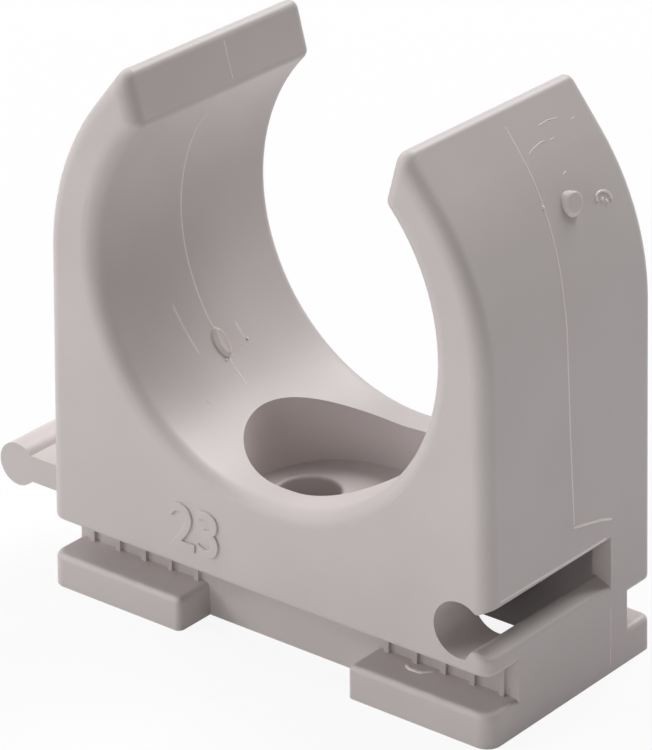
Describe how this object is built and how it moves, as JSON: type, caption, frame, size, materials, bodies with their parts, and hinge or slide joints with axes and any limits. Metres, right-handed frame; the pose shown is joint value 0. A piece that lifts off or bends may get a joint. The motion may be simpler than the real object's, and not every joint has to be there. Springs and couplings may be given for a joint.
{
  "type": "conduit clip",
  "caption": "Open-jawed plastic clip that snaps over an electrical conduit, screws to a wall through its seat and slides onto the next clip by a tongue and a keyhole socket.",
  "frame": {"origin": "in the underside of the feet, at the middle of the jaws' width and depth", "axes": "+Y along the conduit from front to back, +X across the jaws towards the socket, +Z from the wall face towards the mouth"},
  "size_m": [0.0349, 0.0148, 0.0323],
  "materials": {
    "clip_plastic": "satin light grey, warm, moulded"
  },
  "bodies": {
    "root": {"conduit_clip": "clip_plastic"}
  },
  "joints": []
}
